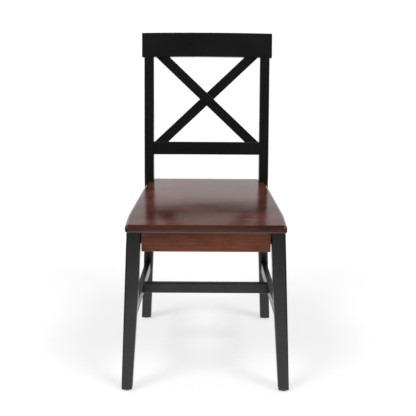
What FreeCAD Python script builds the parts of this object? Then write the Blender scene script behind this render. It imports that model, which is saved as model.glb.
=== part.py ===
import FreeCAD, Part
import math
import os
import re
import Sketcher

# Cross back dining chair: a black lacquered frame with a brown wooden seat.
# Millimetres, +Z up. X runs left to right as seen from the front, the front faces -Y.
# The origin is on the floor, under the middle of the chair's overall box.

doc = FreeCAD.newDocument("CrossBackChair")
sizes = doc.addObject("Spreadsheet::Sheet", "Sizes")
derived = doc.addObject("App::VarSet", "Derived")
home = {}


def bound(formula):
    """Write a formula of size names with the sheet that each name lives on."""
    return re.sub(r"[a-z][a-z_0-9]*", lambda word: home.get(word.group(0), "") + word.group(0), formula)


def derive(name, formula):
    """Name a dimension that follows from the driving ones."""
    derived.addProperty("App::PropertyFloat", name, "Followed", "")
    derived.setExpression(name, bound(formula))
    derived.recompute()
    home[name] = "Derived."


def value(formula):
    """Work a formula out to a plain number."""
    result = sizes.evalExpression(bound(formula))
    return float(getattr(result, "Value", result))


# The driving dimensions, in millimetres and degrees
SIZES = {
    # Heights above the floor
    "seat_height": 472,
    "back_height": 901,
    "glide_height": 3.5,
    # Front legs: square, splayed outwards, with the two inner faces tapered below the stretchers' level
    "leg_width": 35.7,
    "leg_foot_width": 28.8,
    "leg_taper_height": 304,
    "leg_taper_blend": 400,
    "leg_top_span": 398,
    "leg_foot_span": 447.4,
    # Rear legs and back posts, one curved piece each side
    "frame_depth": 403,
    "post_span": 369,
    "post_width": 27.3,
    "post_top_depth": 24,
    "post_seat_depth": 40,
    "rear_foot_span": 413.4,
    "rear_foot_width": 29.8,
    "rear_foot_depth": 30,
    "rear_foot_kick": 57,
    "flare_height": 354,
    "lower_bend_height": 364,
    "upper_bend_height": 489,
    "bend_radius": 300,
    "back_rake": 11.57,
    # Eased edges of the black frame
    "leg_edge_round": 4,
    "post_edge_round": 2.5,
    "rail_edge_round": 2,
    "slat_edge_round": 1,
    "foot_chamfer": 3.2,
    "rear_foot_chamfer": 1.5,
    # Crest rail, bowed backwards and lightly arched
    "crest_length": 382,
    "crest_width": 69.4,
    "crest_thickness": 22,
    "crest_bow": 20,
    "crest_arch": 4.5,
    "crest_end_round": 1.2,
    "crest_end_waste": 1,
    # Lower back rail, bowed to the same radius
    "rail_height": 589,
    "rail_width": 38,
    "rail_thickness": 20,
    "rail_setback": 4.5,
    # The two crossed slats
    "slat_end_width": 40.5,
    "slat_thickness": 12,
    "slat_setback": 12,
    "slat_top_gap": 7.8,
    "slat_foot_gap": 2.6,
    "slat_housing": 8,
    # Seat: a flat board with a stepped and rounded edge, notched round the posts
    "seat_thickness": 20,
    "seat_front_width": 401.4,
    "seat_back_width": 356,
    "seat_overhang": 24.2,
    "seat_tongue": 40,
    "seat_straight": 78,
    "seat_side_round": 600,
    "seat_corner_round": 8,
    "seat_tongue_round": 2,
    "seat_edge_round": 6,
    "seat_bottom_round": 5,
    "seat_field_inset": 6.5,
    "seat_field_step": 2,
    "seat_field_round": 0.8,
    "seat_notch_gap": 0.8,
    # Aprons under the seat
    "apron_width": 59.4,
    "apron_thickness": 18,
    "apron_setback": 8,
    "apron_edge_round": 1.5,
    "apron_end_gap": 0.2,
    # Corner blocks, glued and screwed inside the apron corners
    "block_near": 22,
    "block_far": 58,
    "block_height": 47,
    # Stretchers
    "stretcher_height": 209,
    "stretcher_width": 30.5,
    "stretcher_thickness": 17,
    "cross_setback": 249,
    "tenon_diameter": 14,
    "tenon_length": 14,
    "cross_tenon_length": 11,
    "cope_room": 6,
    # Dowels and the clearance of a pin in its hole, all round
    "dowel_diameter": 8,
    "dowel_length": 28,
    "end_dowel_spread": 14.5,
    "side_dowel_spread": 10,
    "dowel_stagger": 7.2,
    "rail_dowel_spread": 7.5,
    "rail_dowel_drop": 3,
    "crest_dowel_spread": 6,
    "pin_clearance": 0.1,
    "dowel_end_room": 1,
    # Hardware under the seat
    "bolt_diameter": 6,
    "bolt_in_leg": 24,
    "bolt_drop": 17.5,
    "bolt_past_nut": 3,
    "washer_diameter": 18,
    "washer_thickness": 1.5,
    "nut_across_flats": 10,
    "nut_height": 5,
    "screw_diameter": 4,
    "screw_head_diameter": 8,
    "screw_head_height": 3,
    "block_screw_depth": 14,
    "block_screw_bite": 12,
    "block_screw_offset": 40,
    "seat_screw_bite": 12,
    "seat_screw_from_side": 12,
    "seat_screw_from_end": 28,
    # Nail-on glides under the feet
    "glide_diameter": 19,
    "glide_round": 1.5,
    "glide_nail_diameter": 2.2,
    "glide_nail_length": 18,
}

for row, (name, number) in enumerate(SIZES.items(), start=1):
    sizes.set("A%d" % row, name)
    sizes.set("B%d" % row, str(number))
    sizes.setAlias("B%d" % row, name)
    home[name] = "Sizes."
doc.recompute()

# The back leans about a line across the posts' front faces at the upper bend
derive("leg_top_height", "seat_height - seat_thickness")
derive("back_reach", "(back_height - upper_bend_height) / cos(back_rake)")
derive("crest_underside", "back_reach - crest_width")
derive("crest_half", "crest_length / 2")
derive("crest_bend", "sqrt(crest_bow ^ 2 + crest_arch ^ 2)")
derive("bow_radius", "(crest_half ^ 2 + crest_bend ^ 2) / (2 * crest_bend)")
derive("crest_sweep", "asin(crest_half / bow_radius)")
derive("post_half", "post_span / 2")
derive("post_inner", "post_half - post_width")
derive("post_centre", "post_half - post_width / 2")
derive("crest_face", "(post_top_depth - crest_thickness) / 2 + post_centre ^ 2 / (2 * bow_radius)")
derive("crest_back", "crest_face + crest_thickness")
derive("crest_under_rise", "(bow_radius - sqrt(bow_radius ^ 2 - post_centre ^ 2))"
                           " * crest_arch / crest_bend")
derive("crest_axis_y", "(crest_face + crest_back) / 2 - bow_radius * crest_bow / crest_bend")
derive("crest_axis_z", "back_reach + crest_arch - crest_width / 2 - bow_radius * crest_arch / crest_bend")
derive("overall_depth", "seat_overhang + frame_depth + (back_reach + crest_arch) * sin(back_rake)"
                        " + crest_back * cos(back_rake)")
derive("leg_face", "seat_overhang - overall_depth / 2")
derive("post_face", "leg_face + frame_depth")
derive("apron_middle", "leg_top_height - apron_width / 2")
derive("rail_bow", "post_inner ^ 2 / (bow_radius + sqrt(bow_radius ^ 2 - post_inner ^ 2))")
derive("rail_top", "(rail_height - upper_bend_height + rail_setback * sin(back_rake)) / cos(back_rake)")
derive("leg_splay", "(leg_foot_span - leg_top_span) / 2 / leg_top_height")
derive("leg_taper", "(leg_width - leg_foot_width) / leg_taper_height")
derive("rear_flare", "(rear_foot_span - post_span) / 2 / flare_height")
derive("slat_top_x", "slat_top_gap - post_inner")
derive("slat_foot_x", "post_inner - slat_foot_gap - slat_end_width")
derive("slat_drift", "(slat_foot_x - slat_top_x) / (crest_underside - rail_top)")

# The seat frame
derive("leg_back", "leg_face + leg_width")
derive("apron_half", "leg_top_span / 2 - leg_width - apron_end_gap")
derive("apron_front_x", "leg_top_span / 2 - leg_width / 2")
derive("apron_rear_x", "post_half - post_width / 2")
derive("apron_drift", "(apron_front_x - apron_rear_x) / (post_face - leg_back)")
derive("bolt_height", "leg_top_height - bolt_drop")
derive("bolt_corner_x", "leg_top_span / 2 - leg_width + leg_splay * (leg_top_height - bolt_height)")

# The stretchers meet the middles of the legs' faces at the stretchers' own level
derive("stretcher_middle", "stretcher_height - stretcher_width / 2")
derive("front_joint_depth", "min(leg_width; leg_foot_width + leg_taper * stretcher_middle)")
derive("front_joint_x", "leg_foot_span / 2 - leg_splay * stretcher_middle - front_joint_depth / 2")
derive("front_joint_y", "leg_face + front_joint_depth")
derive("rear_joint_width", "rear_foot_width"
                           " - (rear_foot_width - post_width) * stretcher_middle / flare_height")
derive("rear_joint_x", "rear_foot_span / 2 - rear_flare * stretcher_middle - rear_joint_width / 2")
derive("rear_slope", "rear_foot_kick / (lower_bend_height - glide_height)")
derive("rear_joint_y", "post_face + rear_slope * (lower_bend_height - stretcher_middle)")
derive("stretcher_drift", "(front_joint_x - rear_joint_x) / (rear_joint_y - front_joint_y)")
derive("stretcher_turn", "atan(stretcher_drift)")
derive("stretcher_reach", "(rear_joint_y - front_joint_y) / cos(stretcher_turn)")
derive("cross_middle", "leg_face + cross_setback + stretcher_thickness / 2")
derive("cross_half", "front_joint_x - stretcher_drift * (cross_middle - front_joint_y)"
                     " - stretcher_thickness / 2 / cos(stretcher_turn)")
derive("cross_lean", "stretcher_drift * stretcher_thickness / 2")
derive("front_foot_width", "leg_foot_width + leg_taper * glide_height")

SIDES = (("left", -1), ("right", 1))
UPRIGHT = (0, 0, 1)
CROSSWISE = (1, 0, 0)
ENDWISE = (0, 1, 0)
SHARP_TURN = math.radians(20)
ALIGNED = 0.8
SAME_LEVEL = 0.01
SAME_POINT = 0.0001


def spot(x="0", y="0", z="0", axis=UPRIGHT, angle="0"):
    """Write a place, and a turn about an axis there, as a formula."""
    return "placement(vector(%s; %s; %s); rotation(vector(%s; %s; %s); %s))" % ((x, y, z) + axis + (angle,))


def place(thing, *spots):
    """Tie a piece's place to the sizes, each spot measured from the one before it."""
    thing.setExpression("Placement", bound(" * ".join(spots)))


# The leaning plane of the back: its Z runs up the posts, its Y goes square through them
LEANING = spot(y="post_face", z="upper_bend_height", axis=CROSSWISE, angle="-back_rake")


def body(name):
    """Start a solid piece that is built from sketches."""
    new = doc.addObject("PartDesign::Body", name)
    new.Label = name
    return new


def fix_point(sketch, geometry, point, x, y):
    """Hold a sketch point at two sizes, measured from the sketch's origin."""
    for kind, formula in (("DistanceX", x), ("DistanceY", y)):
        held = sketch.addConstraint(Sketcher.Constraint(kind, -1, 1, geometry, point, value(formula)))
        sketch.setExpression("Constraints[%d]" % held, bound(formula))


def hold_radius(sketch, geometry, formula):
    """Tie an arc's radius to a size."""
    held = sketch.addConstraint(Sketcher.Constraint("Radius", geometry, value(formula)))
    sketch.setExpression("Constraints[%d]" % held, bound(formula))


def start_sketch(piece, name, plane, lift="0"):
    """Attach a sketch to one of the piece's own origin planes, lifted along its normal."""
    sketch = piece.newObject("Sketcher::SketchObject", name)
    support = [feature for feature in piece.Origin.OriginFeatures if feature.Role == plane][0]
    sketch.AttachmentSupport = [(support, "")]
    sketch.MapMode = "FlatFace"
    sketch.setExpression(".AttachmentOffset.Base.z", bound(lift))
    return sketch


def rounded_corner(before, corner, after, radius):
    """Return a corner's arc and the points where it leaves its two lines."""
    to_before = (before - corner).normalize()
    to_after = (after - corner).normalize()
    half_angle = to_before.getAngle(to_after) / 2
    start = corner + to_before * (radius / math.tan(half_angle))
    end = corner + to_after * (radius / math.tan(half_angle))
    centre = corner + (to_before + to_after).normalize() * (radius / math.sin(half_angle))
    middle = centre + (corner - centre).normalize() * radius
    return Part.Arc(start, middle, end), start, end


def outline(piece, name, plane, corners, lift="0"):
    """Sketch a closed outline through (x, y) or (x, y, corner radius) formulas."""
    sketch = start_sketch(piece, name, plane, lift)
    points = [FreeCAD.Vector(value(corner[0]), value(corner[1]), 0) for corner in corners]
    count = len(corners)
    leaves = list(points)
    arrives = list(points)
    arcs = {}
    for i, corner in enumerate(corners):
        if len(corner) == 3:
            after = points[(i + 1) % count]
            arc, start, end = rounded_corner(points[i - 1], points[i], after, value(corner[2]))
            arcs[i] = arc
            arrives[i] = start
            leaves[i] = end
    runs = [Part.LineSegment(leaves[i], arrives[(i + 1) % count]) for i in range(count)]
    lines = [sketch.addGeometry(run) for run in runs]
    for i, corner in enumerate(corners):
        if i not in arcs:
            sketch.addConstraint(Sketcher.Constraint("Coincident", lines[i - 1], 2, lines[i], 1))
            fix_point(sketch, lines[i], 1, corner[0], corner[1])
            continue
        arc = sketch.addGeometry(arcs[i])
        start = sketch.getPoint(arc, 1)
        first, last = (1, 2) if start.isEqual(arrives[i], SAME_POINT) else (2, 1)
        sketch.addConstraint(Sketcher.Constraint("Tangent", lines[i - 1], 2, arc, first))
        sketch.addConstraint(Sketcher.Constraint("Tangent", arc, last, lines[i], 1))
        mark = sketch.addGeometry(Part.Point(points[i]), True)
        fix_point(sketch, mark, 1, corner[0], corner[1])
        sketch.addConstraint(Sketcher.Constraint("PointOnObject", mark, 1, lines[i - 1]))
        sketch.addConstraint(Sketcher.Constraint("PointOnObject", mark, 1, lines[i]))
        hold_radius(sketch, arc, corner[2])
    return sketch


def arch(piece, name, plane, half, level, rise, radius, closing):
    """Sketch an area between a shallow arc over the middle and a straight line at closing."""
    sketch = start_sketch(piece, name, plane)
    reach, low, high, top = value(half), value(level), value(closing), value(level) + value(rise)
    ends = [FreeCAD.Vector(-reach, low, 0), FreeCAD.Vector(reach, low, 0)]
    curve = sketch.addGeometry(Part.Arc(ends[0], FreeCAD.Vector(0, top, 0), ends[1]))
    first, last = (1, 2) if sketch.getPoint(curve, 1).isEqual(ends[0], SAME_POINT) else (2, 1)
    fix_point(sketch, curve, first, "-(%s)" % half, level)
    fix_point(sketch, curve, last, half, level)
    hold_radius(sketch, curve, radius)
    far = [FreeCAD.Vector(-reach, high, 0), FreeCAD.Vector(reach, high, 0)]
    left = sketch.addGeometry(Part.LineSegment(ends[0], far[0]))
    across = sketch.addGeometry(Part.LineSegment(far[0], far[1]))
    right = sketch.addGeometry(Part.LineSegment(far[1], ends[1]))
    sketch.addConstraint(Sketcher.Constraint("Coincident", curve, first, left, 1))
    sketch.addConstraint(Sketcher.Constraint("Coincident", left, 2, across, 1))
    sketch.addConstraint(Sketcher.Constraint("Coincident", across, 2, right, 1))
    sketch.addConstraint(Sketcher.Constraint("Coincident", right, 2, curve, last))
    fix_point(sketch, across, 1, "-(%s)" % half, closing)
    fix_point(sketch, across, 2, half, closing)
    return sketch


def pad(piece, sketch, length, both_ways=False, backwards=False):
    """Raise a sketch into wood."""
    feature = piece.newObject("PartDesign::Pad", sketch.Name + "_pad")
    feature.Profile = sketch
    feature.setExpression("Length", bound(length))
    feature.SideType = "Symmetric" if both_ways else "One side"
    feature.Reversed = backwards
    doc.recompute()


def pocket(piece, sketch):
    """Cut a sketch away right through both ways, and prove that it cut."""
    before = piece.Shape.Volume
    feature = piece.newObject("PartDesign::Pocket", sketch.Name + "_cut")
    feature.Profile = sketch
    feature.Type = "ThroughAll"
    feature.SideType = "Symmetric"
    doc.recompute()
    if piece.Shape.Volume >= before:
        raise RuntimeError("%s cuts nothing" % sketch.Name)


def turn(piece, sketch, axis, angle):
    """Turn a sketch about one of its own lines, to both sides of its plane alike."""
    feature = piece.newObject("PartDesign::Revolution", sketch.Name + "_turned")
    feature.Profile = sketch
    feature.ReferenceAxis = (sketch, [axis])
    feature.Midplane = True
    feature.setExpression("Angle", bound(angle))
    doc.recompute()


def sharp_edges(shape, wanted):
    """Name the edges that turn a corner and pass a test of the edge, its course and its faces' normals."""
    names = []
    for i, edge in enumerate(shape.Edges):
        faces = shape.ancestorsOfType(edge, Part.Face)
        halfway = (edge.FirstParameter + edge.LastParameter) / 2
        middle = edge.valueAt(halfway)
        normals = [face.normalAt(*face.Surface.parameter(middle)) for face in faces]
        turns = len(normals) == 2 and normals[0].getAngle(normals[1]) > SHARP_TURN
        if turns and wanted(edge, edge.tangentAt(halfway), normals):
            names.append("Edge%d" % (i + 1))
    return names


def along(x, y, z):
    """Pick edges that run more or less one way."""
    way = FreeCAD.Vector(x, y, z).normalize()

    def wanted(edge, course, normals):
        return abs(course.dot(way)) > ALIGNED
    return wanted


def leg_corner(x, y):
    """Pick edges up a leg, between a face that looks along X and one that looks along Y."""
    def wanted(edge, course, normals):
        looks_x = max(normal.x * x for normal in normals) > ALIGNED
        looks_y = max(normal.y * y for normal in normals) > ALIGNED
        return looks_x and looks_y and abs(course.z) > ALIGNED
    return wanted


def at_level(height):
    """Pick edges that lie wholly at one height."""
    def wanted(edge, course, normals):
        return max(abs(edge.BoundBox.ZMin - height), abs(edge.BoundBox.ZMax - height)) < SAME_LEVEL
    return wanted


def upright_ends(edge, course, normals):
    """Pick the sharp edges that lie in the end faces of a piece that runs left to right."""
    return edge.BoundBox.XLength < SAME_LEVEL


def ease(piece, radius, wanted, kind="PartDesign::Fillet"):
    """Round or chamfer the sharp edges that a test picks out."""
    tip = piece.Tip
    feature = piece.newObject(kind, "%s_eased_%d" % (piece.Name, len(piece.Group)))
    feature.Base = (tip, sharp_edges(tip.Shape, wanted))
    feature.setExpression("Size" if kind.endswith("Chamfer") else "Radius", bound(radius))
    doc.recompute()


def ease_leg(leg, radius, chamfer):
    """Round a leg's four corners one after another, each from its longest stretch, and chamfer its foot."""
    for x, y in ((-1, -1), (1, -1), (-1, 1), (1, 1)):
        shape = leg.Tip.Shape
        stretches = [shape.Edges[int(name[4:]) - 1] for name in sharp_edges(shape, leg_corner(x, y))]
        longest = max(stretches, key=lambda edge: edge.Length)
        ease(leg, radius, lambda edge, course, normals: edge.isSame(longest))
    ease(leg, chamfer, at_level(value("glide_height")), "PartDesign::Chamfer")


def rod(name, radius, length, *spots, back="0"):
    """Make a round pin, or the drill for its hole, set back along its own axis."""
    new = doc.addObject("Part::Cylinder", name)
    new.setExpression("Radius", bound(radius))
    new.setExpression("Height", bound(length))
    place(new, *spots, spot(z="-(%s)" % back))
    return new


def together(name, members):
    """Keep like pieces, or one piece's drills, as one named group of solids."""
    new = doc.addObject("Part::Compound", name)
    new.Links = members
    new.Label = name
    return new


def cut(name, base, tools):
    """Cut a group of tools out of a piece and give it its name."""
    new = doc.addObject("Part::Cut", name)
    new.Base = base
    new.Tool = together(name + "_waste", tools)
    new.Label = name
    doc.recompute()
    return new


# Each finished piece by name, and the holes that each piece still gets
pieces = {}
holes = {}


def drill(owners, tool):
    """Note a hole or housing that pieces get when they are finished."""
    for owner in owners:
        holes.setdefault(owner, []).append(tool)


def finish(name, blank):
    """Cut a piece's holes and put it with the finished pieces."""
    pieces[name] = cut(name, blank, holes[name]) if name in holes else blank
    blank.Label = name if name not in holes else name + "_blank"


pins = {}


def dowel(kind, owners, *spots):
    """Set one dowel with its middle on a joint, and drill it into both pieces."""
    pins.setdefault(kind, [])
    label = "%s_%d" % (kind, len(pins[kind]) + 1)
    pins[kind].append(rod(label, "dowel_diameter / 2", "dowel_length", *spots, back="dowel_length / 2"))
    bore = rod(label + "_bore", "dowel_diameter / 2 + pin_clearance", "dowel_length + 2 * dowel_end_room",
               *spots, back="dowel_length / 2 + dowel_end_room")
    drill(owners, bore)


def fuse(name, members):
    """Join what is cut from one piece of wood."""
    new = doc.addObject("Part::MultiFuse", name)
    new.Shapes = members
    doc.recompute()
    return new


def screw(name, owners, length, axis, depth):
    """Make a screw with its head on a seat this deep, and drill it into its pieces."""
    shank = rod(name + "_shank", "screw_diameter / 2", length, axis, back=depth)
    head = rod(name + "_head", "screw_head_diameter / 2", "screw_head_height", axis,
               back=depth + " + screw_head_height")
    drill(owners, rod(name + "_pilot", "screw_diameter / 2 + pin_clearance", length + " + dowel_end_room",
                      axis, back=depth))
    drill(owners[:1], rod(name + "_recess", "screw_head_diameter / 2 + pin_clearance", "block_far", axis,
                          back=depth + " + block_far"))
    return fuse(name, [shank, head])


def slat_corners(side, into, widen):
    """Give a slat's corners; side 1 falls to the right, -1 to the left. Its ends are let in, and in
    the rail the foot's outer edge is cut upright, clear of the post."""
    left_top = "(slat_top_x - slat_drift * (%s) - %s)" % (into, widen)
    left_foot = "(slat_foot_x + slat_drift * (%s) - %s)" % (into, widen)
    right_foot = "(slat_foot_x + slat_end_width + %s)" % widen
    high = "crest_underside + " + into
    low = "rail_top - (%s)" % into
    return [("%d * %s" % (side, left_top), high),
            ("%d * (%s + slat_end_width + 2 * %s)" % (side, left_top, widen), high),
            ("%d * %s" % (side, right_foot), "rail_top"),
            ("%d * %s" % (side, right_foot), low),
            ("%d * %s" % (side, left_foot), low)]


def stretcher_section():
    """Give the corners of a stretcher's upright section."""
    half = "stretcher_thickness / 2"
    low = "stretcher_height - stretcher_width"
    return [("-" + half, low), (half, low), (half, "stretcher_height"), ("-" + half, "stretcher_height")]


def seat_corners(inset, back):
    """Give the seat's plan, set in from its front and sides, with these further corners at the back."""
    right = [
        ("seat_front_width / 2 - " + inset, "leg_face - seat_overhang + " + inset,
         "seat_corner_round - " + inset),
        ("seat_front_width / 2 - " + inset, "leg_face + seat_straight", "seat_side_round"),
        ("seat_back_width / 2 - " + inset, "post_face - seat_notch_gap", "seat_corner_round - " + inset),
    ] + back
    return right + [("-(%s)" % corner[0],) + corner[1:] for corner in right[::-1]]


# Front legs. The outer face is straight and splayed; the inner and back faces run parallel to the
# outer and front faces at the top and taper towards the foot. Foot and top are cut level.
leg_blanks = {}
for side_name, side in SIDES:
    name = "front_%s_leg" % side_name
    leg = body(name + "_blank")
    place(leg, spot(y="leg_face"))
    outer_foot = "(leg_foot_span / 2 - leg_splay * glide_height)"
    outer_bend = "(leg_foot_span / 2 - leg_splay * leg_taper_height)"
    foot_width = "(leg_foot_width + leg_taper * glide_height)"
    front_view = outline(leg, name + "_front", "XZ_Plane", [
        ("%d * %s" % (side, outer_foot), "glide_height"),
        ("%d * leg_top_span / 2" % side, "leg_top_height"),
        ("%d * (leg_top_span / 2 - leg_width)" % side, "leg_top_height"),
        ("%d * (%s - leg_width)" % (side, outer_bend), "leg_taper_height", "leg_taper_blend"),
        ("%d * (%s - %s)" % (side, outer_foot, foot_width), "glide_height"),
    ])
    pad(leg, front_view, "leg_width * 2", backwards=True)
    back_waste = outline(leg, name + "_back", "YZ_Plane", [
        ("leg_width", "leg_top_height * 2"),
        ("leg_width", "leg_taper_height", "leg_taper_blend"),
        ("leg_foot_width", "0"),
        ("leg_width * 3", "0"),
        ("leg_width * 3", "leg_top_height * 2"),
    ])
    pocket(leg, back_waste)
    ease_leg(leg, "leg_edge_round", "foot_chamfer")
    leg_blanks[name] = leg

# Rear legs, each in one piece with its back post. The side view is sawn first: the foot kicks
# back, the leg stands upright at the seat frame and the post leans. The front view flares the foot.
post_top_y = "((crest_underside + crest_arch) * sin(back_rake))"
post_top_z = "(upper_bend_height + (crest_underside + crest_arch) * cos(back_rake))"
for side_name, side in SIDES:
    name = "rear_%s_leg" % side_name
    leg = body(name + "_blank")
    place(leg, spot(y="post_face"))
    side_view = outline(leg, name + "_side", "YZ_Plane", [
        ("rear_foot_kick", "glide_height"),
        ("0", "lower_bend_height", "bend_radius"),
        ("0", "upper_bend_height", "bend_radius"),
        (post_top_y, post_top_z),
        (post_top_y + " + post_top_depth * cos(back_rake)",
         post_top_z + " - post_top_depth * sin(back_rake)"),
        ("post_seat_depth", "upper_bend_height", "bend_radius"),
        ("post_seat_depth", "lower_bend_height", "bend_radius"),
        ("rear_foot_kick + rear_foot_depth", "glide_height"),
    ], lift="%d * post_half" % side)
    pad(leg, side_view, "rear_foot_span / 2", both_ways=True)
    outer_waste = outline(leg, name + "_outer", "XZ_Plane", [
        ("%d * rear_foot_span / 2" % side, "0"),
        ("%d * post_half" % side, "flare_height", "bend_radius"),
        ("%d * post_half" % side, "back_height"),
        ("%d * rear_foot_span" % side, "back_height"),
        ("%d * rear_foot_span" % side, "0"),
    ])
    pocket(leg, outer_waste)
    inner_waste = outline(leg, name + "_inner", "XZ_Plane", [
        ("%d * (rear_foot_span / 2 - rear_foot_width)" % side, "0"),
        ("%d * post_inner" % side, "flare_height", "bend_radius"),
        ("%d * post_inner" % side, "back_height"),
        ("%d * -post_inner" % side, "back_height"),
        ("%d * -post_inner" % side, "0"),
    ])
    pocket(leg, inner_waste)
    ease_leg(leg, "post_edge_round", "rear_foot_chamfer")
    leg_blanks[name] = leg

# Crest rail: one section turned about a leaning axis, which bows it backwards and arches it, then
# trimmed square at the ends. A wider section, turned the same way, cuts the posts' tops to fit it.


def turn_about_back(piece, section):
    """Turn a section about the axis of the back's curve."""
    ends = [("crest_axis_y", "crest_axis_z"), ("crest_axis_y - crest_arch", "crest_axis_z + crest_bow")]
    points = [FreeCAD.Vector(value(y), value(z), 0) for y, z in ends]
    axis = section.addGeometry(Part.LineSegment(*points), True)
    for i, (y, z) in enumerate(ends):
        fix_point(section, axis, i + 1, y, z)
    turn(piece, section, "Axis0", "2 * (crest_sweep + crest_end_waste)")


crest = body("crest_rail_blank")
place(crest, LEANING)
crest_under = "crest_underside + crest_under_rise"
section = outline(crest, "crest_section", "YZ_Plane", [
    ("crest_face", crest_under, "rail_edge_round"),
    ("crest_back", crest_under, "rail_edge_round"),
    ("crest_back", "back_reach + crest_arch", "rail_edge_round"),
    ("crest_face", "back_reach + crest_arch", "rail_edge_round"),
])
turn_about_back(crest, section)
for side_name, side in SIDES:
    pocket(crest, outline(crest, "crest_%s_end" % side_name, "XZ_Plane", [
        ("%d * crest_half" % side, "crest_underside - crest_width"),
        ("%d * crest_length" % side, "crest_underside - crest_width"),
        ("%d * crest_length" % side, "back_reach + crest_width"),
        ("%d * crest_half" % side, "back_reach + crest_width"),
    ]))
ease(crest, "crest_end_round", upright_ends)

bed = body("crest_bed")
place(bed, LEANING)
bed_section = outline(bed, "crest_bed_section", "YZ_Plane", [
    ("crest_face - crest_thickness", crest_under),
    ("crest_back + crest_thickness", crest_under),
    ("crest_back + crest_thickness", crest_under + " + crest_width / 2"),
    ("crest_face - crest_thickness", crest_under + " + crest_width / 2"),
])
turn_about_back(bed, bed_section)
drill(["rear_left_leg", "rear_right_leg"], bed)

# Lower back rail: bowed to the same radius, its ends square against the posts.
rail = body("lower_back_rail_blank")
place(rail, LEANING)
bar = outline(rail, "rail_bar", "XZ_Plane", [
    ("-post_inner", "rail_top - rail_width"),
    ("post_inner", "rail_top - rail_width"),
    ("post_inner", "rail_top"),
    ("-post_inner", "rail_top"),
])
pad(rail, bar, "4 * (crest_bow + rail_thickness)", both_ways=True)
for name, face, far in (("rail_front", "rail_setback", "-2"),
                        ("rail_back", "(rail_setback + rail_thickness)", "2")):
    waste = arch(rail, name, "XY_Plane", "post_inner", face, "rail_bow", "bow_radius",
                 far + " * (crest_bow + rail_thickness)")
    pocket(rail, waste)
ease(rail, "rail_edge_round", along(1, 0, 0))

# Crossed slats, half lapped where they meet. Their ends are let into the crest and the lower rail.
for slat_name, side in (("falling", 1), ("rising", -1)):
    name = slat_name + "_slat"
    slat = body(name + "_blank")
    place(slat, LEANING)
    face = outline(slat, name + "_face", "XZ_Plane", slat_corners(side, "slat_housing", "0"),
                   lift="-slat_setback")
    pad(slat, face, "slat_thickness", backwards=True)
    ease(slat, "slat_edge_round", along(side * value("slat_drift"), 0, -1))
    lap = body(name + "_lap")
    place(lap, LEANING)
    half_back = "slat_thickness / 2" if side == 1 else "0"
    lap_face = outline(lap, name + "_lap_face", "XZ_Plane",
                       slat_corners(-side, "slat_housing", "pin_clearance"),
                       lift="-(slat_setback + %s)" % half_back)
    pad(lap, lap_face, "slat_thickness / 2", backwards=True)
    drill([name], lap)
    housing = body(name + "_housing")
    place(housing, LEANING)
    room = outline(housing, name + "_housing_face", "XZ_Plane",
                   slat_corners(side, "slat_housing + pin_clearance", "pin_clearance"),
                   lift="pin_clearance - slat_setback")
    pad(housing, room, "slat_thickness + 2 * pin_clearance", backwards=True)
    drill(["crest_rail", "lower_back_rail"], housing)
    finish(name, slat)

# Two dowels pin each post's top to the crest, and two each end of the lower rail to its post.
for side_name, side in SIDES:
    post = "rear_%s_leg" % side_name
    for step in (-1, 1):
        dowel("crest_dowels", ["crest_rail", post], LEANING,
              spot("%d * post_centre + %d * crest_dowel_spread" % (side, step), "post_top_depth / 2",
                   "crest_underside"))
        dowel("rail_dowels", ["lower_back_rail", post], LEANING,
              spot("%d * post_inner" % side, "rail_setback + rail_thickness / 2",
                   "rail_top - rail_width / 2 - rail_dowel_drop + %d * rail_dowel_spread" % step,
                   ENDWISE, "90"))

# Front and rear aprons. The front one is cut square, so a thin wedge opens beside each splayed leg.
for name, half, face in (("front_apron", "apron_half", "leg_face"),
                         ("rear_apron", "post_inner", "post_face")):
    apron = body(name + "_blank")
    place(apron, spot(y=face + " + apron_setback"))
    board = outline(apron, name + "_board", "XZ_Plane", [
        ("-" + half, "leg_top_height - apron_width"),
        (half, "leg_top_height - apron_width"),
        (half, "leg_top_height"),
        ("-" + half, "leg_top_height"),
    ])
    pad(apron, board, "apron_thickness", backwards=True)
    ease(apron, "apron_edge_round", along(1, 0, 0))
    for side_name, side in SIDES:
        leg_name = "%s_%s_leg" % (name.split("_")[0], side_name)
        for step in (-1, 1):
            dowel(name + "_dowels", [name, leg_name],
                  spot("%d * %s" % (side, half), face + " + apron_setback + apron_thickness / 2",
                       "apron_middle + dowel_stagger + %d * end_dowel_spread" % step, ENDWISE, "90"))

# Side aprons, square ended between the front legs' back faces and the posts' front faces.
for side_name, side in SIDES:
    name = "%s_apron" % side_name
    apron = body(name + "_blank")
    board = outline(apron, name + "_board", "XY_Plane", [
        ("%d * (apron_front_x + apron_thickness / 2)" % side, "leg_back"),
        ("%d * (apron_rear_x + apron_thickness / 2)" % side, "post_face"),
        ("%d * (apron_rear_x - apron_thickness / 2)" % side, "post_face"),
        ("%d * (apron_front_x - apron_thickness / 2)" % side, "leg_back"),
    ], lift="leg_top_height - apron_width")
    pad(apron, board, "apron_width")
    ease(apron, "apron_edge_round", along(0, 1, 0))
    for end_name, x, y in (("front", "apron_front_x", "leg_back"),
                           ("rear", "apron_rear_x", "post_face")):
        for step in (-1, 1):
            dowel("side_apron_dowels", [name, "%s_%s_leg" % (end_name, side_name)],
                  spot("%d * %s" % (side, x), y,
                       "apron_middle - dowel_stagger + %d * side_dowel_spread" % step, CROSSWISE, "90"))

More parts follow.
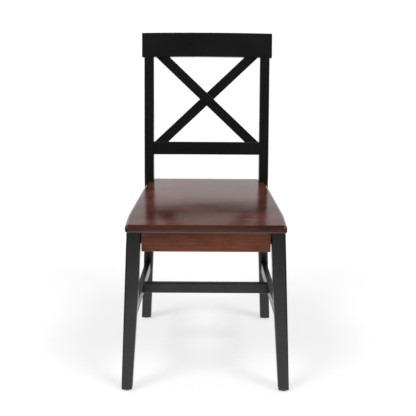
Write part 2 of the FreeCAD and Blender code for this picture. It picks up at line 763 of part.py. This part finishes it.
# Side stretchers, level, with shoulders coped to the legs and round tenons in them. The cross
# stretcher joins them halfway along, so the three make an H.
cross_bore = rod("cross_bore", "tenon_diameter / 2 + pin_clearance",
                 "2 * (cross_half + cross_tenon_length + dowel_end_room)",
                 spot(y="cross_middle", z="stretcher_middle", axis=ENDWISE, angle="90"),
                 back="cross_half + cross_tenon_length + dowel_end_room")
for side_name, side in SIDES:
    name = "%s_stretcher" % side_name
    run = spot("%d * front_joint_x" % side, "front_joint_y", "0", UPRIGHT, "%d * stretcher_turn" % side)
    blank = body(name + "_bar")
    place(blank, run)
    section = outline(blank, name + "_section", "XZ_Plane", stretcher_section(), lift="cope_room")
    pad(blank, section, "stretcher_reach + 2 * cope_room", backwards=True)
    ease(blank, "rail_edge_round", along(0, 1, 0))
    legs = ["front_%s_leg" % side_name, "rear_%s_leg" % side_name]
    coped = cut(name + "_coped", blank, [leg_blanks[leg_name] for leg_name in legs])
    axis = spot(z="stretcher_middle", axis=CROSSWISE, angle="-90")
    tenons = rod(name + "_tenons", "tenon_diameter / 2", "stretcher_reach + 2 * tenon_length", run, axis,
                 back="tenon_length")
    mortises = rod(name + "_mortises", "tenon_diameter / 2 + pin_clearance",
                   "stretcher_reach + 2 * (tenon_length + dowel_end_room)", run, axis,
                   back="tenon_length + dowel_end_room")
    drill(legs, mortises)
    drill([name], cross_bore)
    finish(name, fuse(name + "_tenoned", [coped, tenons]))

cross = body("cross_stretcher_bar")
cross_plan = outline(cross, "cross_plan", "XY_Plane", [
    ("-(cross_half + cross_lean)", "cross_middle - stretcher_thickness / 2"),
    ("cross_half + cross_lean", "cross_middle - stretcher_thickness / 2"),
    ("cross_half - cross_lean", "cross_middle + stretcher_thickness / 2"),
    ("-(cross_half - cross_lean)", "cross_middle + stretcher_thickness / 2"),
], lift="stretcher_height - stretcher_width")
pad(cross, cross_plan, "stretcher_width")
ease(cross, "rail_edge_round", along(1, 0, 0))
cross_tenons = rod("cross_tenons", "tenon_diameter / 2", "2 * (cross_half + cross_tenon_length)",
                   spot(y="cross_middle", z="stretcher_middle", axis=ENDWISE, angle="90"),
                   back="cross_half + cross_tenon_length")
finish("cross_stretcher", fuse("cross_stretcher_tenoned", [cross, cross_tenons]))

# Corner blocks under the seat. Each is glued into its apron corner, pulled to the leg by a hanger
# bolt with a washer and nut, screwed to both aprons, and holds the seat with one long screw.
fasteners = {"hanger_bolts": [], "hanger_washers": [], "hanger_nuts": [],
             "block_screws": [], "seat_screws": []}
ENDS = (("front", 1, "leg_face + apron_setback + apron_thickness", "bolt_corner_x", "leg_back"),
        ("rear", -1, "post_face + apron_setback", "post_inner", "post_face"))
for end_name, inward, corner_y, leg_corner_x, leg_corner_y in ENDS:
    corner_x = "(apron_front_x - apron_thickness / 2 - apron_drift * (%s - leg_back))" % corner_y
    for side_name, side in SIDES:
        corner_name = "%s_%s" % (end_name, side_name)
        name = corner_name + "_block"
        block = body(name + "_blank")
        plan = []
        for reach, order in (("block_near", 1), ("block_far", -1)):
            along_side = "(%d * %s / (1 + %d * apron_drift))" % (inward, reach, inward)
            pair = [("%d * (%s - %s)" % (side, corner_x, reach), corner_y),
                    ("%d * (%s - apron_drift * %s)" % (side, corner_x, along_side),
                     "%s + %s" % (corner_y, along_side))]
            plan += pair[::order]
        pad(block, outline(block, name + "_plan", "XY_Plane", plan, lift="leg_top_height - block_height"),
            "block_height")

        leg_offset = "(%s - %s + %d * (%s - (%s)))" % (corner_x, leg_corner_x, inward,
                                                       leg_corner_y, corner_y)
        stand = "((block_far - %s) / sqrt(2))" % leg_offset
        bolt_axis = spot("%d * %s" % (side, leg_corner_x), leg_corner_y, "bolt_height",
                         (-inward, -side, 0), "90")
        end_past = "%s + washer_thickness + nut_height + bolt_past_nut" % stand
        fasteners["hanger_bolts"].append(rod(name + "_bolt", "bolt_diameter / 2",
                                             "bolt_in_leg + " + end_past, bolt_axis, back="bolt_in_leg"))
        drill(["%s_leg" % corner_name, name],
              rod(name + "_bolt_hole", "bolt_diameter / 2 + pin_clearance",
                  "bolt_in_leg + dowel_end_room + " + end_past, bolt_axis,
                  back="bolt_in_leg + dowel_end_room"))
        bore = rod(name + "_bolt_bore", "bolt_diameter / 2 + pin_clearance",
                   "washer_thickness + nut_height", bolt_axis, spot(z=stand))
        disc = rod(name + "_disc", "washer_diameter / 2", "washer_thickness", bolt_axis, spot(z=stand))
        fasteners["hanger_washers"].append(cut(name + "_washer", disc, [bore]))
        hexagon = doc.addObject("Part::Prism", name + "_hexagon")
        hexagon.Polygon = 6
        hexagon.setExpression("Circumradius", bound("nut_across_flats / sqrt(3)"))
        hexagon.setExpression("Height", bound("nut_height"))
        place(hexagon, bolt_axis, spot(z=stand + " + washer_thickness"))
        fasteners["hanger_nuts"].append(cut(name + "_nut", hexagon, [bore]))

        into_end = spot("%d * (%s - block_screw_offset)" % (side, corner_x), corner_y, "bolt_height",
                        CROSSWISE, "%d" % (90 * inward))
        into_side = spot("%d * (%s - apron_drift * %d * block_screw_offset)" % (side, corner_x, inward),
                         "%s + %d * block_screw_offset" % (corner_y, inward), "bolt_height",
                         ENDWISE, "%d" % (90 * side))
        for apron_name, screw_axis in ((end_name + "_apron", into_end), (side_name + "_apron", into_side)):
            fasteners["block_screws"].append(screw("%s_to_%s" % (name, apron_name), [name, apron_name],
                                                   "block_screw_depth + block_screw_bite", screw_axis,
                                                   "block_screw_depth"))
        upwards = spot("%d * (%s - seat_screw_from_side)" % (side, corner_x),
                       "%s + %d * seat_screw_from_end" % (corner_y, inward), "leg_top_height - block_height")
        fasteners["seat_screws"].append(screw(name + "_to_seat", [name, "seat"],
                                              "block_height + seat_screw_bite", upwards, "0"))
        finish(name, block)

# Seat: one flat board. Its front and sides are routed to a round bead, a step below the field, and
# its underside is eased. Behind the bead a tongue runs back between the posts, with its edges plain.
seat = body("seat_blank")
board = outline(seat, "seat_board", "XY_Plane", seat_corners("0", []), lift="leg_top_height")
pad(seat, board, "seat_thickness - seat_field_step")
ease(seat, "seat_edge_round", at_level(value("seat_height - seat_field_step")))
ease(seat, "seat_bottom_round", at_level(value("leg_top_height")))
tongue_end = [("post_inner - seat_notch_gap", "post_face + seat_tongue", "seat_tongue_round")]
tongue_root = ("post_inner - seat_notch_gap", "post_face - seat_notch_gap")
tongue_start = ("post_inner - seat_notch_gap", "post_face - seat_corner_round * 2")
tongue_corners = [tongue_start] + tongue_end
tongue = outline(seat, "seat_tongue_board", "XY_Plane",
                 tongue_corners + [("-(%s)" % corner[0],) + corner[1:] for corner in tongue_corners[::-1]],
                 lift="leg_top_height")
pad(seat, tongue, "seat_thickness - seat_field_step")
field = outline(seat, "seat_field", "XY_Plane",
                seat_corners("seat_field_inset", [tongue_root] + tongue_end),
                lift="seat_height - seat_field_step - seat_edge_round")
pad(seat, field, "seat_field_step + seat_edge_round")
ease(seat, "seat_field_round", at_level(value("seat_height")))

# Glides: a hard disc with a rounded rim under each foot, held by its own nail.
GLIDES = (("front", "leg_foot_span / 2 - leg_splay * glide_height - front_foot_width / 2",
           "leg_face + front_foot_width / 2"),
          ("rear", "rear_foot_span / 2 - rear_flare * glide_height - rear_foot_width / 2",
           "post_face + rear_foot_kick + rear_foot_depth / 2"))
for end_name, x, y in GLIDES:
    for side_name, side in SIDES:
        corner_name = "%s_%s" % (end_name, side_name)
        name = corner_name + "_glide"
        glide = body(name)
        place(glide, spot("%d * (%s)" % (side, x), y))
        profile = outline(glide, name + "_profile", "XZ_Plane", [
            ("0", "0"),
            ("glide_diameter / 2", "0", "glide_round"),
            ("glide_diameter / 2", "glide_height"),
            ("glide_nail_diameter / 2", "glide_height"),
            ("glide_nail_diameter / 2", "glide_height + glide_nail_length"),
            ("0", "glide_height + glide_nail_length"),
        ])
        turn(glide, profile, "V_Axis", "360")
        drill([corner_name + "_leg"],
              rod(name + "_nail_hole", "glide_nail_diameter / 2 + pin_clearance",
                  "glide_height + glide_nail_length + dowel_end_room",
                  spot("%d * (%s)" % (side, x), y)))
        finish(name, glide)

for name, leg in leg_blanks.items():
    finish(name, leg)
for name, blank in (("crest_rail", crest), ("lower_back_rail", rail), ("seat", seat)):
    finish(name, blank)
for name in ("front_apron", "rear_apron", "left_apron", "right_apron"):
    finish(name, doc.getObject(name + "_blank"))
for name, members in list(pins.items()) + list(fasteners.items()):
    pieces[name] = together(name, members)

doc.recompute()
for thing in doc.Objects:
    if "Invalid" in thing.State or "Error" in thing.State:
        raise RuntimeError("%s failed: %s" % (thing.Label, thing.State))
for name, piece in pieces.items():
    if piece.Shape.isNull() or not piece.Shape.isValid():
        raise RuntimeError("%s has no valid shape" % name)

os.makedirs("parts", exist_ok=True)
for name, piece in pieces.items():
    piece.Shape.exportStep("parts/%s.step" % name)
    print("%s: %d solid(s), %.0f cubic mm" % (name, len(piece.Shape.Solids), piece.Shape.Volume))
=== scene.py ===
import math

import bpy
from mathutils import Matrix, Vector


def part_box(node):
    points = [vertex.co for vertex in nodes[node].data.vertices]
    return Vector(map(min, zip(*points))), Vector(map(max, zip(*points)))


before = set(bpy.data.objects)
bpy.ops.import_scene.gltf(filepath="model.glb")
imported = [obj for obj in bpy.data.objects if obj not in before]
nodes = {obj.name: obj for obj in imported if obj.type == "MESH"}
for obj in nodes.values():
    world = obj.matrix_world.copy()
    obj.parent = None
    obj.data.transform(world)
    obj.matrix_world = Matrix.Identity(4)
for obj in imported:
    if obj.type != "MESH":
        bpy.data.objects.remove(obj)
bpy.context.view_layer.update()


# The front legs are square hardwood, splayed outwards and tapered to the foot, and each rear leg is
# sawn in one piece with its back post. All four are stained dark, then sprayed with a black satin
# lacquer that is rubbed back between coats, so the coat is thinnest along the arrises. There the
# colour is painted lighter, partly for that thin coat and partly as a painted highlight.
def linear(red, green, blue):
    """Turn a colour as it is read off a paint card into the light it gives back."""
    def channel(shade):
        part = shade / 255
        return part / 12.92 if part <= 0.04045 else ((part + 0.055) / 1.055) ** 2.4
    return channel(red), channel(green), channel(blue), 1.0


def feed(tree, node, inputs):
    """Give each input of a node a plain value, or the output that feeds it."""
    for socket, source in inputs.items():
        if isinstance(source, bpy.types.NodeSocket):
            tree.links.new(source, node.inputs[socket])
        else:
            node.inputs[socket].default_value = source


def add_node(tree, kind, inputs=None, **settings):
    """Put a node in a finish, with its settings and its inputs."""
    new = tree.nodes.new(kind)
    for setting, choice in settings.items():
        setattr(new, setting, choice)
    feed(tree, new, inputs or {})
    return new


def start_finish(name):
    """Open a finish, and return it with its tree, its shader and the place on the chair."""
    finish = bpy.data.materials.new(name)
    finish.use_nodes = True
    tree = finish.node_tree
    tree.nodes.clear()
    shader = add_node(tree, "ShaderNodeBsdfPrincipled")
    add_node(tree, "ShaderNodeOutputMaterial", {"Surface": shader.outputs["BSDF"]})
    place = add_node(tree, "ShaderNodeTexCoord").outputs["Object"]
    return finish, tree, shader, place


def along_grain(tree, place, turn, stretch, start=(0, 0, 0)):
    """Turn the place so that its X runs up the grain, and draw the pattern out that way."""
    laid = add_node(tree, "ShaderNodeMapping", {"Vector": place, "Location": start,
                    "Rotation": turn, "Scale": (stretch, 1, 1)}, vector_type="TEXTURE")
    return laid.outputs["Vector"]


def speckle(tree, where, scale, detail=2, roughness=0.5, distortion=0):
    """A soft random pattern, from 0 to 1."""
    made = add_node(tree, "ShaderNodeTexNoise", {"Vector": where, "Scale": scale, "Detail": detail,
                    "Roughness": roughness, "Distortion": distortion})
    return made.outputs["Fac"]


def spread(tree, amount, low, high, start=0.0, end=1.0):
    """Stretch the part of a pattern between two levels to a new range."""
    made = add_node(tree, "ShaderNodeMapRange", {"Value": amount, "From Min": low, "From Max": high,
                    "To Min": start, "To Max": end})
    return made.outputs["Result"]


def combine(tree, how, first, second):
    """Work two amounts into one."""
    made = add_node(tree, "ShaderNodeMath", {0: first, 1: second}, operation=how)
    return made.outputs["Value"]


def blend(tree, amount, first, second, how="MIX"):
    """Lay one colour over another."""
    made = add_node(tree, "ShaderNodeMix", {"Factor": amount, 6: first, 7: second},
                    data_type="RGBA", blend_type=how)
    return made.outputs[2]


def lay(tree, colour, over, where, strength):
    """Lay a colour over another in the places of a pattern, up to a strength."""
    return blend(tree, combine(tree, "MULTIPLY", where, strength), colour, over)


def relief(tree, height, strength, depth, invert=False):
    """Turn a pattern into fine relief on the surface."""
    made = add_node(tree, "ShaderNodeBump", {"Height": height, "Strength": strength,
                    "Distance": depth}, invert=invert)
    return made.outputs["Normal"]


def patchy_arris(tree, place, radius, patches):
    """A mask along the sharp edges, stronger in some places than in others."""
    rounded = add_node(tree, "ShaderNodeBevel", {"Radius": radius}, samples=6)
    surface = add_node(tree, "ShaderNodeNewGeometry")
    facing = add_node(tree, "ShaderNodeVectorMath", {0: rounded.outputs["Normal"],
                      1: surface.outputs["Normal"]}, operation="DOT_PRODUCT")
    edge = spread(tree, facing.outputs["Value"], low=0.995, high=0.80)
    patchy = speckle(tree, place, patches, detail=4, roughness=0.6)
    return combine(tree, "MULTIPLY", edge, spread(tree, patchy, low=0.40, high=0.68))


UPRIGHT = (0, -math.pi / 2, 0)
BLACK = linear(20, 20, 19)
BLACK_PORE = linear(10, 9, 9)
# The lighter colour of the arrises: partly lacquer worn thin, partly a painted highlight.
RUBBED_BLACK_AND_HIGHLIGHT = linear(58, 52, 47)
PORE_SHEEN = 0.12


def black_lacquer(name, turn):
    """Black satin lacquer over open pored wood, with its grain turned along the piece."""
    finish, tree, shader, place = start_finish(name)
    pores = speckle(tree, along_grain(tree, place, turn, stretch=28), 1100, detail=3, roughness=0.6)
    pores = spread(tree, pores, low=0.58, high=0.68)
    figure = speckle(tree, along_grain(tree, place, turn, stretch=14), 120, detail=3,
                     roughness=0.55)
    clouds = speckle(tree, place, 11, detail=3)
    peel = speckle(tree, place, 420, detail=1)
    arris_mask = patchy_arris(tree, place, radius=0.0022, patches=38)
    figured = spread(tree, figure, low=0.3, high=0.7, end=0.4)
    colour = blend(tree, figured, BLACK, BLACK_PORE)
    colour = lay(tree, colour, BLACK_PORE, where=pores, strength=0.6)
    # Along the arrises the colour is painted lighter: partly lacquer worn thin, partly a painted
    # highlight.
    colour = lay(tree, colour, RUBBED_BLACK_AND_HIGHLIGHT, where=arris_mask, strength=0.45)
    sheen = combine(tree, "ADD", spread(tree, clouds, low=0.3, high=0.7, start=0.27, end=0.37),
                    combine(tree, "MULTIPLY", pores, PORE_SHEEN))
    height = combine(tree, "SUBTRACT", combine(tree, "MULTIPLY", peel, 0.35), pores)
    grain = relief(tree, height, strength=0.25, depth=0.00012)
    feed(tree, shader, {"Base Color": colour, "Roughness": sheen, "Normal": grain})
    return finish


def dress(finish, *names):
    """Give pieces of the frame their finish."""
    for name in names:
        slots = nodes[name].data.materials
        slots.clear()
        slots.append(finish)


dress(black_lacquer("black lacquer, grain upright", UPRIGHT), "front_left_leg", "front_right_leg",
      "rear_left_leg", "rear_right_leg")

# The crest and the lower back rail are bowed boards, dowelled to the back posts, and the middle
# stretcher is a straight bar, tenoned into the side stretchers. All three run from side to side,
# and so does their grain, under the same black lacquer.
CROSSWISE = (0, 0, 0)
dress(black_lacquer("black lacquer, grain crosswise", CROSSWISE), "crest_rail", "lower_back_rail",
      "cross_stretcher")

# The side stretchers are straight bars that run from the front legs to the rear legs.
# Their shoulders are coped to the legs, round tenons hold them, and the grain runs along them.
ENDWISE = (0, 0, math.pi / 2)
dress(black_lacquer("black lacquer, grain endwise", ENDWISE), "left_stretcher", "right_stretcher")


# The two slats of the back cross in a half lap, and their ends are housed in both rails.
# Each has its grain along its own slope.
def slope_of(name):
    """How steeply a slat runs, from the box that it fills."""
    low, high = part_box(name)
    return math.atan2(high.z - low.z, high.x - low.x)


dress(black_lacquer("black lacquer, falling grain", (0, slope_of("falling_slat"), 0)),
      "falling_slat")
dress(black_lacquer("black lacquer, rising grain", (0, -slope_of("rising_slat"), 0)), "rising_slat")

# The seat is one flat board, glued up from flat sawn staves that run from side to side.
# It is stained a red brown and then coated with a semi gloss lacquer. Where its rim is routed down
# to a bead it is painted darker, partly for stain soaked deeper and partly as painted shade on the
# rounded rim.
STAIN_DARK = linear(48, 24, 19)
STAIN = linear(84, 46, 37)
STAIN_LIGHT = linear(122, 70, 54)
STAVE_SHIFT = (0.9, 0.03, 0.02)
SMEAR_START = (0.31, 0.07, 0.2)
RUN_OUT = 0.001
# How dark the routed rim is painted: partly deeper stain, partly painted shade.
RIM_STAIN_AND_SHADE = 0.55


def brown_stain(name, turn, pith, stave_width, tone, lustre, routed):
    """Clear coated brown stain, with growth rings about a pith that lies away from the board.

    Each stave has a figure and a tone of its own. Below the routed height the colour is darker:
    partly stain soaked deeper into the cut wood, partly painted shade on the rounded rim."""
    finish, tree, shader, place = start_finish(name)
    parts = add_node(tree, "ShaderNodeSeparateXYZ", {"Vector": place})
    stave = combine(tree, "FLOOR", combine(tree, "DIVIDE", parts.outputs["Y"], stave_width), 0)
    chance = add_node(tree, "ShaderNodeTexWhiteNoise", {"W": stave}, noise_dimensions="1D")
    shift = add_node(tree, "ShaderNodeVectorMath", {0: chance.outputs["Color"], 1: STAVE_SHIFT},
                     operation="MULTIPLY")
    moved = add_node(tree, "ShaderNodeVectorMath", {0: place, 1: shift.outputs["Vector"]},
                     operation="ADD").outputs["Vector"]
    log = along_grain(tree, moved, turn, stretch=6, start=pith)
    rings = add_node(tree, "ShaderNodeTexWave", {"Vector": log, "Scale": 34, "Distortion": 5,
                     "Detail": 3, "Detail Scale": 1.6, "Detail Roughness": 0.55},
                     wave_type="RINGS", rings_direction="X").outputs["Fac"]
    streaks = speckle(tree, along_grain(tree, moved, turn, stretch=7), 24, detail=4, roughness=0.6)
    lines = speckle(tree, along_grain(tree, moved, turn, stretch=22), 420, detail=3, roughness=0.6)
    pores = spread(tree, speckle(tree, along_grain(tree, moved, turn, stretch=26), 900),
                   low=0.6, high=0.7)
    smears = speckle(tree, along_grain(tree, moved, turn, stretch=3.2, start=SMEAR_START), 15,
                     detail=4, roughness=0.62, distortion=0.6)
    clouds = speckle(tree, place, 9, detail=3)
    arris_mask = patchy_arris(tree, place, radius=0.002, patches=45)
    colour = blend(tree, spread(tree, streaks, low=0.34, high=0.68), STAIN_LIGHT, STAIN)
    for pattern, low, high, strength in ((rings, 0.35, 1, 0.22), (lines, 0.45, 0.75, 0.35),
                                         (smears, 0.46, 0.68, 0.6)):
        colour = blend(tree, spread(tree, pattern, low, high, end=strength), colour, STAIN_DARK)
    colour = lay(tree, colour, STAIN_DARK, where=pores, strength=0.6)
    own_tone = spread(tree, chance.outputs["Value"], low=0, high=1, start=0.9, end=1.08)
    colour = add_node(tree, "ShaderNodeVectorMath", {0: colour, "Scale": own_tone},
                      operation="SCALE").outputs["Vector"]
    colour = blend(tree, 1.0, colour, tone, how="MULTIPLY")
    # Below the routed height the colour is darker: partly stain soaked deeper, partly painted shade.
    rim_stain_and_shade = spread(tree, parts.outputs["Z"], low=routed, high=routed + RUN_OUT, start=RIM_STAIN_AND_SHADE)
    colour = add_node(tree, "ShaderNodeVectorMath", {0: colour, "Scale": rim_stain_and_shade},
                      operation="SCALE").outputs["Vector"]
    # Along the arrises the stain is worn a little lighter.
    colour = lay(tree, colour, STAIN_LIGHT, where=arris_mask, strength=0.35)
    height = combine(tree, "SUBTRACT", combine(tree, "MULTIPLY", lines, 0.4), pores)
    grain = relief(tree, height, strength=0.2, depth=0.0001)
    sheen = spread(tree, clouds, low=0.3, high=0.7, start=0.13, end=0.2)
    feed(tree, shader, {"Specular IOR Level": lustre, "Base Color": colour, "Roughness": sheen,
                        "Normal": grain})
    return finish


STAVE_WIDTH = 0.071
NO_TONE = (1, 1, 1, 1)
SEAT_LUSTRE = 0.55
ROUTED_DROP = 0.0015
routed_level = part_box("seat")[1].z - ROUTED_DROP
dress(brown_stain("brown stain, seat", turn=(0, 0.02, 0.03), pith=(0, 0.02, 0.40),
                  stave_width=STAVE_WIDTH, tone=NO_TONE, lustre=SEAT_LUSTRE, routed=routed_level),
      "seat")

# The aprons are boards on edge under the seat, dowelled to the legs. Each side apron is joined from
# two lengths. They take the same stain, which comes out warmer on them, under a duller coat.
WARMER = (1.75, 1.6, 1.25, 1)
APRON_LUSTRE = 0.2
APRON_STAVE = 1.0
UNROUTED = 0
dress(brown_stain("brown stain, aprons crosswise", turn=(0, 0.01, 0), pith=(0, -0.2, 0.30),
                  stave_width=APRON_STAVE, tone=WARMER, lustre=APRON_LUSTRE, routed=UNROUTED),
      "front_apron", "rear_apron")
dress(brown_stain("brown stain, aprons endwise", turn=ENDWISE, pith=(0, 0, 0.30),
                  stave_width=APRON_STAVE, tone=WARMER, lustre=APRON_LUSTRE, routed=UNROUTED),
      "left_apron", "right_apron")


# The corner blocks are pale rubberwood, glued, screwed and bolted into the corners of the aprons.
# The dowels are beech pins, glued into the joints. Both are left bare.
def bare_wood(name, turn, pale, dark):
    """Sanded wood with no finish on it."""
    finish, tree, shader, place = start_finish(name)
    rings = speckle(tree, along_grain(tree, place, turn, stretch=12), 160, detail=4, roughness=0.6)
    pores = spread(tree, speckle(tree, along_grain(tree, place, turn, stretch=20), 1200),
                   low=0.6, high=0.7)
    colour = blend(tree, spread(tree, rings, low=0.35, high=0.7), pale, dark)
    colour = lay(tree, colour, dark, where=pores, strength=0.5)
    grain = relief(tree, pores, strength=0.3, depth=0.0001, invert=True)
    feed(tree, shader, {"Base Color": colour, "Normal": grain, "Roughness": 0.62})
    return finish


BLOCK_PALE = linear(206, 176, 134)
BLOCK_DARK = linear(170, 134, 94)
DOWEL_PALE = linear(214, 188, 150)
DOWEL_DARK = linear(184, 150, 112)
dress(bare_wood("bare block wood", UPRIGHT, BLOCK_PALE, BLOCK_DARK),
      "front_left_block", "front_right_block", "rear_left_block", "rear_right_block")
dress(bare_wood("bare dowel wood", CROSSWISE, DOWEL_PALE, DOWEL_DARK),
      "crest_dowels", "rail_dowels", "front_apron_dowels", "rear_apron_dowels", "side_apron_dowels")

# The hanger bolts, washers, nuts and screws are plain steel with a bright zinc plating.
# The bolts pull the blocks to the legs, and the screws hold them to the aprons and the seat.
ZINC_PALE = linear(176, 178, 182)
ZINC_DARK = linear(142, 146, 152)


def zinc_plating(name):
    """Zinc plated steel, a little dull and faintly clouded."""
    finish, tree, shader, place = start_finish(name)
    clouds = speckle(tree, place, 260, detail=3, roughness=0.6)
    colour = blend(tree, clouds, ZINC_PALE, ZINC_DARK)
    sheen = spread(tree, clouds, low=0.3, high=0.7, start=0.26, end=0.42)
    feed(tree, shader, {"Base Color": colour, "Roughness": sheen, "Metallic": 1.0})
    return finish


dress(zinc_plating("zinc plating"), "hanger_bolts", "hanger_washers", "hanger_nuts", "block_screws",
      "seat_screws")

# The glides are dark brown nylon buttons nailed under the feet.
# They have a fine moulded grain, and are scuffed where they meet the floor.
NYLON = linear(62, 48, 42)
NYLON_SCUFF = linear(110, 92, 82)


def nylon(name):
    """Dark brown nylon with a fine moulded grain and pale scuffs."""
    finish, tree, shader, place = start_finish(name)
    scuffs = spread(tree, speckle(tree, place, 300, detail=4, roughness=0.7), low=0.55, high=0.7)
    colour = lay(tree, NYLON, NYLON_SCUFF, where=scuffs, strength=0.5)
    grain = relief(tree, speckle(tree, place, 2400, detail=1), strength=0.2, depth=0.00005)
    sheen = spread(tree, scuffs, low=0, high=1, start=0.42, end=0.62)
    feed(tree, shader, {"Base Color": colour, "Normal": grain, "Roughness": sheen})
    return finish


dress(nylon("brown nylon"), "front_left_glide", "front_right_glide", "rear_left_glide",
      "rear_right_glide")

# The floor is wide and pale, and keeps the chair's soft shadow.
# What the lacquer mirrors of it is a bright sheet, laid from front to back under the chair, with the
# darker floor of the room around it.
FLOOR_HALF = 60.0
FLOOR_GREY = linear(232, 232, 232)
FLOOR_GLOW = 0.62
FLOOR_SHADE = (0.45, 0.45, 0.45)
SHEET_FRONT = (-1.62, -1.36)
SHEET_SIDE = (0.3, 0.5)
SHEET_LIGHT = 1.2
ROOM_FLOOR = 0.15
WHITE = (1, 1, 1, 1)

bpy.ops.object.select_all(action="DESELECT")
bpy.ops.mesh.primitive_plane_add(size=2 * FLOOR_HALF, location=(0, 0, 0))
floor = bpy.context.active_object
floor.name = "studio_floor"

pale = bpy.data.materials.new("pale floor")
pale.use_nodes = True
tree = pale.node_tree
tree.nodes.clear()
rays = add_node(tree, "ShaderNodeLightPath").outputs
lit = add_node(tree, "ShaderNodeBsdfDiffuse", {"Color": FLOOR_GREY})
place = add_node(tree, "ShaderNodeTexCoord").outputs["Object"]
parts = add_node(tree, "ShaderNodeSeparateXYZ", {"Vector": place}).outputs
sideways = combine(tree, "ABSOLUTE", parts["X"], 0)
fall = combine(tree, "MULTIPLY",
               spread(tree, parts["Y"], *SHEET_FRONT, start=ROOM_FLOOR, end=SHEET_LIGHT),
               spread(tree, sideways, *SHEET_SIDE, start=1, end=ROOM_FLOOR))
level = add_node(tree, "ShaderNodeMix", {0: rays["Is Camera Ray"], 2: fall, 3: 1.0},
                 data_type="FLOAT").outputs[0]
glow = add_node(tree, "ShaderNodeEmission", {"Color": WHITE,
                "Strength": combine(tree, "MULTIPLY", level, FLOOR_GLOW)})
shade = add_node(tree, "ShaderNodeVectorMath", {0: FLOOR_SHADE, "Scale": level}, operation="SCALE")
shadowed = add_node(tree, "ShaderNodeBsdfDiffuse", {"Color": shade.outputs["Vector"]})
seen = add_node(tree, "ShaderNodeAddShader", {0: glow.outputs[0], 1: shadowed.outputs[0]})
backdrop = combine(tree, "MAXIMUM", rays["Is Camera Ray"], rays["Is Glossy Ray"])
backdrop = combine(tree, "MAXIMUM", backdrop, rays["Is Transmission Ray"])
mixed = add_node(tree, "ShaderNodeMixShader", {0: backdrop, 1: lit.outputs[0], 2: seen.outputs[0]})
add_node(tree, "ShaderNodeOutputMaterial", {"Surface": mixed.outputs[0]})
floor.data.materials.append(pale)

# Behind the chair a white sweep runs up from the floor, and the rest of the room is dark.
# The lacquer mirrors both, the camera sees plain white all round, and a faint light from every
# side fills the shadows.
SWEEP = ((0.0, 1.0), (0.235, 0.95), (0.258, 0.50), (0.275, 0.36), (0.33, 0.48), (0.36, 0.04))
SWEEP_START = -0.1
SWEEP_FULL = 0.3
ROOM_LIGHT = (0.055, 0.055, 0.055, 1)
MIRRORED = 1.4
AMBIENT = 0.36

world = bpy.data.worlds.new("studio")
bpy.context.scene.world = world
world.use_nodes = True
tree = world.node_tree
tree.nodes.clear()
rays = add_node(tree, "ShaderNodeLightPath").outputs
direction = add_node(tree, "ShaderNodeTexCoord").outputs["Generated"]
parts = add_node(tree, "ShaderNodeSeparateXYZ", {"Vector": direction}).outputs
sweep = add_node(tree, "ShaderNodeValToRGB", {"Fac": parts["Z"]})
ramp = sweep.color_ramp.elements
while len(ramp) < len(SWEEP):
    ramp.new(1.0)
for stop, (height, light) in zip(ramp, SWEEP):
    stop.position = height
    stop.color = (light, light, light, 1)
ambient = add_node(tree, "ShaderNodeBackground", {"Color": WHITE, "Strength": AMBIENT})
behind = spread(tree, parts["Y"], SWEEP_START, SWEEP_FULL)
around = blend(tree, behind, ROOM_LIGHT, sweep.outputs["Color"])
mirrored = add_node(tree, "ShaderNodeBackground", {"Color": around, "Strength": MIRRORED})
white = add_node(tree, "ShaderNodeBackground", {"Color": WHITE, "Strength": 1.0})
glossy = combine(tree, "MAXIMUM", rays["Is Glossy Ray"], rays["Is Transmission Ray"])
lighting = add_node(tree, "ShaderNodeMixShader", {0: glossy, 1: ambient.outputs[0],
                    2: mirrored.outputs[0]})
surround = add_node(tree, "ShaderNodeMixShader", {0: rays["Is Camera Ray"],
                    1: lighting.outputs[0], 2: white.outputs[0]})
add_node(tree, "ShaderNodeOutputWorld", {"Surface": surround.outputs[0]})

# Two large soft lamps hang high in front of the chair, one to either side.
# They light the chair and give the floor its soft shadows.
LAMP_SPREAD = math.radians(21)
LAMP_HEIGHT = math.radians(52)
LAMP_TURN = math.radians(48)
LAMP_STRENGTH = 1.15

for side, side_name in ((-1, "left"), (1, "right")):
    lamp = bpy.data.lights.new("soft lamp, " + side_name, "SUN")
    lamp.energy = LAMP_STRENGTH
    lamp.angle = LAMP_SPREAD
    holder = bpy.data.objects.new("soft_lamp_" + side_name, lamp)
    bpy.context.scene.collection.objects.link(holder)
    towards = Vector((side * math.sin(LAMP_TURN) * math.cos(LAMP_HEIGHT),
                      -math.cos(LAMP_TURN) * math.cos(LAMP_HEIGHT), math.sin(LAMP_HEIGHT)))
    holder.rotation_mode = "QUATERNION"
    holder.rotation_quaternion = towards.to_track_quat("Z", "Y")

# The camera stands in front of the chair, well above the seat, and looks down at it.
# It is panned and rolled by a hair, as the photograph is.
CAMERA_BACK = 1.825
CAMERA_HEIGHT = 1.054
CAMERA_DOWN = math.radians(16.57)
CAMERA_PAN = math.radians(-0.14)
CAMERA_ROLL = math.radians(0.35)
SENSOR_WIDTH = 36.0
LENS = 66.63
leg_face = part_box("front_left_leg")[0].y

eye = bpy.data.cameras.new("camera")
eye.sensor_width = SENSOR_WIDTH
eye.lens = LENS
camera = bpy.data.objects.new("camera", eye)
bpy.context.scene.collection.objects.link(camera)
camera.matrix_world = (Matrix.Translation((0, leg_face - CAMERA_BACK, CAMERA_HEIGHT))
                       @ Matrix.Rotation(CAMERA_PAN, 4, "Z")
                       @ Matrix.Rotation(math.pi / 2 - CAMERA_DOWN, 4, "X")
                       @ Matrix.Rotation(CAMERA_ROLL, 4, "Z"))
bpy.context.scene.camera = camera
bpy.context.scene.view_settings.view_transform = "Standard"
